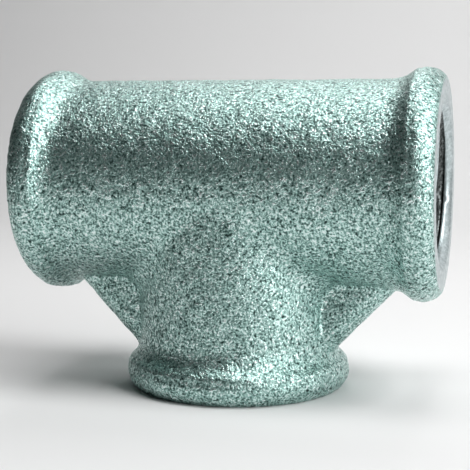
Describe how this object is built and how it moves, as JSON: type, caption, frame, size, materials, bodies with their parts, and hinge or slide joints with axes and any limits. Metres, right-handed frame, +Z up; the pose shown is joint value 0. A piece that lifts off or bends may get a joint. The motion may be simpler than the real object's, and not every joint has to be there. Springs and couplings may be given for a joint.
{
  "type": "pipe tee",
  "caption": "Equal pipe tee: a straight beaded run with a beaded branch square to it, all sockets with female pipe thread, webs in the corners, one galvanised casting.",
  "frame": {"origin": "centre of the branch's end face, which the tee stands on", "axes": "+Z up the branch to the run, +X along the run, +Y across"},
  "size_m": [0.056, 0.0308, 0.0434],
  "materials": {
    "galvanised_iron": "hot-dip galvanised cast skin, pebbled, matt zinc grey; end faces and threads machined bright"
  },
  "bodies": {
    "root": {"tee_body": "galvanised_iron"}
  },
  "joints": []
}
